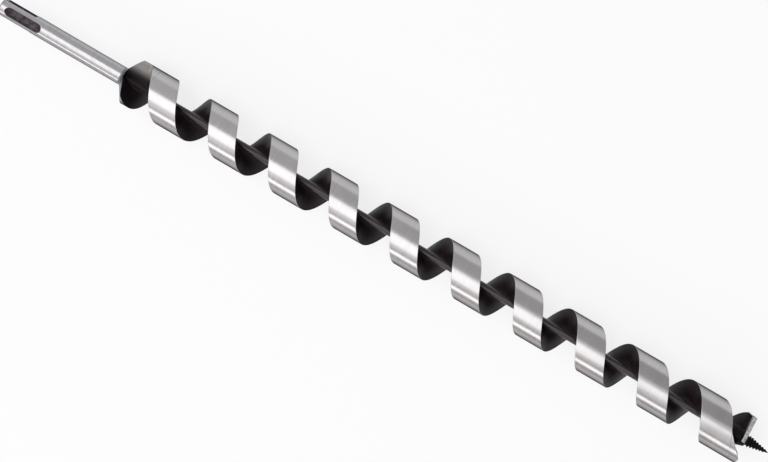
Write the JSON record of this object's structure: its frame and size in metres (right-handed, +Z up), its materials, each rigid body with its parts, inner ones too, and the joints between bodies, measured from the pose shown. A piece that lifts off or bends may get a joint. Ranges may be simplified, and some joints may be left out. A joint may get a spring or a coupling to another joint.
{
  "type": "auger bit",
  "caption": "Wood auger bit with a slotted plain shank, a helical flight round a straight core, a cutting lip, a spur and a lead screw.",
  "frame": {"origin": "centre of the shank's butt end", "axes": "+X along the bit's axis, from the butt end to the tip of the lead screw; +Z up, out of a locking groove of the shank; +Y completes the right-handed frame"},
  "size_m": [0.46, 0.026, 0.0264],
  "materials": {
    "ground_steel": "ground bright round the axis, fine lines",
    "bright_edge": "freshly ground cutting face",
    "blued_steel": "steel turned bluish by heat at the neck",
    "black_finish": "satin black finish on steel"
  },
  "bodies": {
    "root": {"shank": "ground_steel", "neck_fillet": "blued_steel", "shoulder": "black_finish", "core": "black_finish", "flight": "black_finish", "land": "ground_steel", "spur": "ground_steel", "cutting_lip": "bright_edge", "screw_hub": "black_finish", "lead_screw": "black_finish", "screw_thread": "black_finish"}
  },
  "joints": []
}
